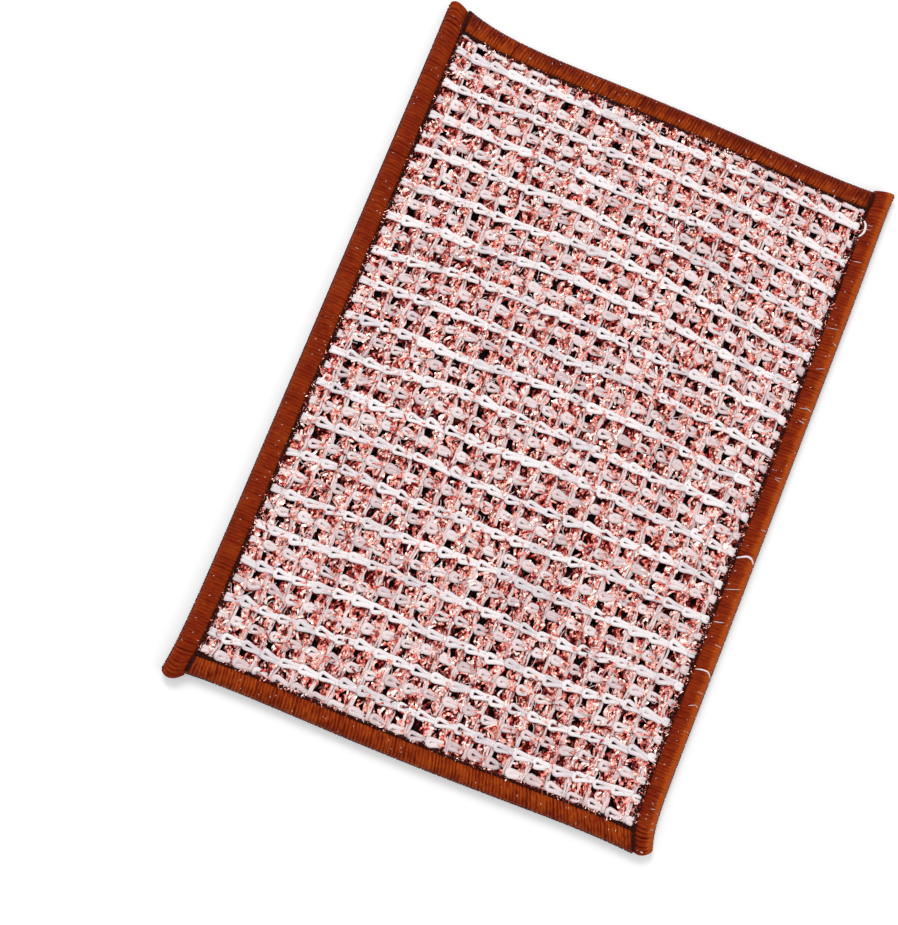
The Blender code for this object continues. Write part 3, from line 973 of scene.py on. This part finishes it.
def build_core(side, material):
    """The under-layer of the upper thread, seen in slits between its passes, and the seam's closed ends."""
    run, width = seam_run(side)
    line = eased(UPPER_PASS, PASS_STEPS)
    line = line - CORE_INSET * unit(line - np.array(CORE_MIDDLE))

    def sections(places, outline):
        inward, z = outline.T
        along = np.array(places)[:, None]
        return laid(eared(side, along, inward * (width / SIDE_SEAM_WIDTH), z, 0)).reshape(-1, 3)

    steps = int(2 * run / CORE_STEP)
    low, high = seam_ends(side, CORE_SHORT)
    closed = np.concatenate([line, eased(LOWER_PASS, PASS_STEPS)[1:-1]])
    points = [sections(np.linspace(low, high, steps), line), sections([low, high], closed)]
    faces = quads_between(1, steps, PASS_STEPS, PASS_STEPS - 1)[0].tolist()
    first = len(points[0])
    faces += [tuple(range(at, at + len(closed))) for at in (first, first + len(closed))]
    mesh = plain_mesh(f"seam_core_{side}", np.concatenate(points), faces)
    mesh.shade_smooth()
    return add_piece(f"seam_core_{side}", mesh, material, "rust_thread")


STITCH_PITCH = 1.1
STITCH_STEP = 0.2
STITCH_SWING = 0.65
END_STITCH_SWING = 0.38
MIDDLE_STITCH_SWING = 0.15
STITCH_HALF = 0.27
STITCH_SHORT = 0.7
STITCH_LEVEL = 4.6
# Where a side seam's stitches rise over the seam across the end: this long before it, over this run
CROSSING_EARLY = 0.8
CROSSING_RUN = 1.2


def build_inner_stitches(side, material):
    """The dark scallops of thread that hold a seam's passes along its inner edge, made wide and three strands
    deep so that they also paint the shade of the pressed lane beside the seam.
    """
    width = seam_run(side)[1]
    along = places_along(side, STITCH_SHORT, STITCH_STEP)
    steps = len(along)
    paths = []
    from_end = HALF_LENGTH - np.abs(along)
    crossing = smoothstep((END_SEAM_WIDTH + CROSSING_EARLY - from_end) / CROSSING_RUN)
    level = between(STITCH_LEVEL, over_seam(from_end, END_SEAM_WIDTH) + 0.02, crossing)
    wide = STITCH_SWING if side in LONG_SIDES else END_STITCH_SWING
    # Partly real thread, partly painted shade: the strands swing wide to darken the whole lane beside the seam.
    for strand, swing in enumerate((wide, wide, MIDDLE_STITCH_SWING)):
        waver = noise(1, steps, knots=80, reach=0.2)[0]
        turn = math.tau * (along / STITCH_PITCH + strand / 2 + waver)
        inward = between(width + 0.25 + swing, width + 0.45, crossing)
        inward = inward + swing * (1 - 0.6 * crossing) * np.cos(turn)
        inward = inward + noise(1, steps, knots=70, reach=0.15)[0]
        z = level + (0.2 * np.sin(turn) - 0.15 * np.cos(turn)) * (1 - 0.5 * crossing)
        paths.append(seam_place(side, along + 0.2 * np.sin(2 * turn), inward, z))
    strands = Strands()
    strands.tubes(laid(np.array(paths)), STITCH_HALF, STITCH_HALF, 5, UP, (0.35, 0.6, 0.2))
    return strands.finish(f"inner_stitches_and_shade_{side}", material, "black_thread")


SEAM_GLINTS = 2300
GLINT_STEPS = 4
GLINT_HALF_WIDTH = 0.14
GLINTS_SHORT = 7
GLINTS_INSIDE = 0.3
GLINTS_SPREAD = 0.9
GLINT_LEVELS = (4.3, 5.05)


def build_seam_glints(material):
    """Bits of the copper film caught along the inner edges of the seams."""
    strands = Strands()
    for side in SIDES:
        run, width = seam_run(side)
        count = int(SEAM_GLINTS * run / HALF_LENGTH / 2)
        each = (count, 1)
        along = rng.uniform(-1, 1, each) * (run - GLINTS_SHORT)
        inward = width + GLINTS_INSIDE + np.abs(rng.normal(0, GLINTS_SPREAD, each))
        heading = rng.uniform(0, math.tau, each)
        length = rng.uniform(0.5, 1.6, each)
        t = np.linspace(-0.5, 0.5, GLINT_STEPS)
        turn = heading + rng.normal(0, 1, each) * t
        along = along + length * t * np.cos(turn)
        inward = inward + length * t * np.sin(turn)
        level = rng.uniform(*GLINT_LEVELS, each)
        roll = noise(count, GLINT_STEPS, knots=2, reach=1.2)
        paths = laid(seam_place(side, along, inward, level))
        strands.ribbons(paths, GLINT_HALF_WIDTH, roll, UP, shades(0.4, 0.3, count))
    return strands.finish("seam_glints", material, "copper_yarn")


# (side, count, greatest length) of the white fibres caught in the bands: specks, and streaks on the right one
BAND_FIBRES = [
    ("left", 48, 0.6), ("right", 18, 3.6), ("right", 48, 0.6), ("top", 24, 0.6), ("bottom", 24, 0.6),
]
FIBRE_STEPS = 7
FIBRES_SHORT = 4
RIM_HEIGHT = 3.2


def over_seam(inward, width):
    """The height of a band's top surface this far in from its edge."""
    share = inward / width * SIDE_SEAM_WIDTH
    line = np.array(UPPER_PASS)[::-1]
    top = line[line[:, 1] > RIM_HEIGHT]
    return np.interp(share, top[:, 0], top[:, 1]) + PASS_HALF_THICKNESS


def build_band_fibres(material):
    """White fibres caught in the bands."""
    strands = Strands()
    t = np.linspace(0, 1, FIBRE_STEPS)
    for side, count, longest in BAND_FIBRES:
        run, width = seam_run(side)
        each = (count, 1)
        along = rng.uniform(-1, 1, each) * (run - FIBRES_SHORT)
        middle = rng.uniform(0.9, width - 0.6, each)
        length = rng.uniform(0.3, 1, each) * longest
        inward = np.clip(middle + length * (t - 0.5), 0.7, width - 0.1)
        bend = rng.normal(0, 0.25, each) * length
        arch = 0.1 * np.sin(math.pi * t) * rng.uniform(-1, 1, each)
        along = along + bend * (t - 0.5) + arch
        half = rng.uniform(0.05, 0.11, each) * np.sin(math.pi * (0.15 + 0.7 * t))
        paths = laid(seam_place(side, along, inward, over_seam(inward, width) + 0.03))
        strands.tubes(paths, half, half * 0.7, 5, UP, rng.uniform(0.2, 0.9, count))
    return strands.finish("band_fibres", material, "white_yarn")


# (half width, points along and inward) of yarn ends that the right band caught
CAUGHT_YARNS = [
    (0.32, [(-12.9, 5.8), (-12.2, 4.6), (-11.5, 3.3), (-11.5, 2.1), (-12.2, 1.1), (-12.7, 0.7)]),
    (0.24, [(-46.3, 5.4), (-45.9, 4.2), (-45.7, 3.0), (-45.7, 1.9), (-46.3, 1.1), (-47.0, 0.6)]),
    (0.09, [(-22.4, 5.6), (-21.8, 4.0), (-20.9, 1.8)]),
    (0.13, [(-32.0, 5.4), (-31.8, 4.2), (-31.3, 2.8)]),
    (0.36, [(91.0, 7.2), (90.6, 5.9), (89.4, 5.1), (87.6, 4.9), (86.2, 5.5), (85.4, 6.6)]),
]
CAUGHT_STEPS = 18
CAUGHT_HALF_THICKNESS = 0.2
CAUGHT_LIFT = 0.12


def build_caught_yarns(material):
    """White yarn ends that lie over a band where they were caught in it."""
    strands = Strands()
    t = np.linspace(0, 1, CAUGHT_STEPS)
    for half, points in CAUGHT_YARNS:
        away, inward = eased(points, CAUGHT_STEPS).T
        level = over_seam(np.clip(inward, 0.5, SIDE_SEAM_WIDTH), SIDE_SEAM_WIDTH) + CAUGHT_LIFT
        path = laid(seam_place("right", away, inward, level))[None]
        widths = half * (0.5 + 0.5 * np.sin(math.pi * np.clip(t * 0.9 + 0.05, 0, 1)))[None]
        strands.tubes(path, widths, CAUGHT_HALF_THICKNESS, 8, UP, 0.6)
    return strands.finish("caught_yarns", material, "white_yarn")


NEEDLE_STEP = 0.2
NEEDLE_PLY_HALF = 0.16
NEEDLE_PLY_APART = 0.13
NEEDLE_TWIST = 1.3
NEEDLE_LEVEL = 4.5
NEEDLE_INSIDE = 0.3


def build_needle_thread(side, material):
    """The two-ply needle thread along a seam's inner edge."""
    along = places_along(side, PLY_INSET, NEEDLE_STEP)
    paths = []
    for ply in (0, 1):
        turn = math.tau * along / NEEDLE_TWIST + ply * math.pi
        stray = noise(1, len(along), knots=60, reach=0.08)[0]
        inward = seam_run(side)[1] + NEEDLE_INSIDE + stray + NEEDLE_PLY_APART * np.cos(turn)
        paths.append(seam_place(side, along, inward, NEEDLE_LEVEL + NEEDLE_PLY_APART * np.sin(turn)))
    strands = Strands()
    strands.tubes(laid(np.array(paths)), NEEDLE_PLY_HALF, NEEDLE_PLY_HALF, 6, UP, (0.4, 0.6))
    return strands.finish(f"needle_ply_{side}", material, "black_thread", f"needle_thread_{side}")


# Stage

FLOOR_HALF = 6
FLOOR_GLOW = 0.25
WORLD_LEVEL = 0.6


def set_by_ray(tree, socket, bounced, direct):
    """Gives a socket one value for bounced light, and one for straight, mirrored and refracted rays."""
    rays = tree.nodes.new("ShaderNodeLightPath").outputs
    seen = rays["Is Camera Ray"]
    for name in ("Is Glossy Ray", "Is Transmission Ray"):
        either = tree.nodes.new("ShaderNodeMath")
        either.operation = "MAXIMUM"
        tree.links.new(seen, either.inputs[0])
        tree.links.new(rays[name], either.inputs[1])
        seen = either.outputs[0]
    level = tree.nodes.new("ShaderNodeMapRange")
    level.inputs["To Min"].default_value = bounced
    level.inputs["To Max"].default_value = direct
    tree.links.new(seen, level.inputs["Value"])
    tree.links.new(level.outputs["Result"], socket)


def build_floor():
    """A white floor that looks like the white world around it."""
    mesh = bpy.data.meshes.new("floor")
    corners = [(x * FLOOR_HALF, y * FLOOR_HALF, 0) for x, y in ((-1, -1), (1, -1), (1, 1), (-1, 1))]
    mesh.from_pydata(corners, [], [(0, 1, 2, 3)])
    floor = add_object("floor", mesh)
    finish = Finish("floor_white")
    finish.set(Base_Color=(0.8, 0.8, 0.8, 1), Emission_Color=(1, 1, 1, 1))
    finish.set(Roughness=0.9, Specular_IOR_Level=0.0)
    set_by_ray(finish.tree, finish.shader.inputs["Emission Strength"], 0, FLOOR_GLOW)
    mesh.materials.append(finish.made)


def build_world():
    """White where it is seen, and greyer as a light."""
    world = bpy.data.worlds.new("studio")
    world.use_nodes = True
    background = world.node_tree.nodes["Background"]
    background.inputs["Color"].default_value = (1, 1, 1, 1)
    set_by_ray(world.node_tree, background.inputs["Strength"], WORLD_LEVEL, 1)
    bpy.context.scene.world = world


def build_lamp(name, place, size, power):
    lamp = bpy.data.lights.new(name, "AREA")
    lamp.size = size
    lamp.energy = power
    made = add_object(name, lamp)
    made.location = place
    made.rotation_mode = "QUATERNION"
    made.rotation_quaternion = (-Vector(place)).to_track_quat("-Z", "Y")


def build_camera():
    camera = bpy.data.cameras.new("camera")
    camera.lens = CAMERA_LENS
    camera.sensor_width = SENSOR_LONG_SIDE
    camera.clip_start = 0.01
    made = add_object("camera", camera)
    forward = Vector(CAMERA_FORWARD).normalized()
    right = forward.cross(Vector(CAMERA_UP)).normalized()
    up = right.cross(forward)
    turn = Matrix((right, up, -forward)).transposed()
    made.matrix_world = Matrix.Translation(Vector(CAMERA_PLACE) * MM) @ turn.to_4x4()
    bpy.context.scene.camera = made


# One rust thread in two finishes. The ends' darker dark stop, brighter light stop and larger highlight share are
# painted shade and highlight, for light raking across their ribs. The sides' fourth stop is the painted highlight
# that the band's painted light reaches on the right band's outer side.
RUST_SIDE_COLOURS = (0.115, 0.006, 0.0005), (0.185, 0.013, 0.001), (0.27, 0.03, 0.002), (0.44, 0.068, 0.0035)
RUST_END_COLOURS = (0.07, 0.004, 0.0004), (0.165, 0.012, 0.001), (0.37, 0.055, 0.004), (0.37, 0.055, 0.004)


def build_cloth():
    """Every visible piece of the cloth, as one sheet with its yarns riding on it."""
    bright = yarn_finish("bright_yarn", (0.64, 0.56, 0.60), (0.89, 0.81, 0.83), (0.97, 0.90, 0.91))
    pale = yarn_finish("pale_yarn", (0.62, 0.46, 0.48), (0.85, 0.70, 0.71), (0.94, 0.84, 0.84))
    weft = yarn_finish("weft_yarn", (0.78, 0.56, 0.55), (0.91, 0.74, 0.73), (0.95, 0.86, 0.85))
    copper = film_finish("copper_film", FILM_SHADE_TO_HIGHLIGHT)
    deep = film_finish("copper_film_shaded", SHADED_FILM)
    rust_side = rust_finish("rust_sides", 0.08, *RUST_SIDE_COLOURS)
    rust_end = rust_finish("rust_ends", 0.16, *RUST_END_COLOURS)
    black = thread_finish("black_thread", 0.7, (0.004, 0.003, 0.004), (0.012, 0.009, 0.011), (0.05, 0.04, 0.05))
    core = matted_finish(
        "rust_core", cells=1500, detail=3.0, dark=(0.08, 0.005, 0.0005), light=(0.22, 0.017, 0.001),
        light_from=0.7, strength=0.6, distance=0.0003, roughness=0.9, specular=0.05,
    )
    # The terry ground: the dark backing, painted darker than the pile's charcoal yarn as painted shade for the
    # net's holes.
    ground = matted_finish(
        "terry_ground_painted_shade", cells=2600, detail=4.0, dark=(0.003, 0.0025, 0.003), light=(0.024, 0.018, 0.021),
        light_from=0.75, strength=0.8, distance=0.0004, roughness=0.95, specular=0.1,
    )
    # Dark maroon stitch thread, which also stands in as painted shade along the seams' inner edges.
    stitch = thread_finish("stitch_thread_and_shade", 0.7, (0.008, 0.002, 0.002), (0.03, 0.007, 0.006), (0.11, 0.02, 0.012))
    pile = thread_finish("terry_loops", 0.9, (0.018, 0.017, 0.019), (0.062, 0.058, 0.064), (0.14, 0.13, 0.14))

    back_nodes = [f"back_chain_{number:02d}" for number in range(1, CHAIN_ROWS)]
    ply = build_ply(ground)
    pieces = [
        *build_pile(pile),
        build_chains("face_chains", chain_rows(), FACE_LOOP, bright, "chain_net"),
        build_chains("back_chains", back_rows(), BACK_LOOP, pale, *back_nodes),
        build_wefts(weft),
        build_deep_film(deep),
        *build_copper(copper),
        build_loose_filaments(weft),
    ]
    for side in SIDES:
        rust = rust_side if side in LONG_SIDES else rust_end
        pieces += [
            build_passes("upper", side, UPPER_THREAD, rust, "rust_thread"),
            build_passes("lower", side, LOWER_THREAD, black, "black_thread"),
            build_needle_thread(side, black),
            build_inner_stitches(side, stitch),
            build_core(side, core),
        ]
    pieces += [build_seam_glints(copper), build_band_fibres(bright), build_caught_yarns(bright)]


build_camera()
build_floor()
build_world()
build_lamp("key", (-0.5, 0.7, 1.1), 0.5, 9)
build_lamp("fill", (0.9, -0.3, 0.9), 0.8, 2.5)
build_cloth()

bpy.context.scene.view_settings.view_transform = "Standard"
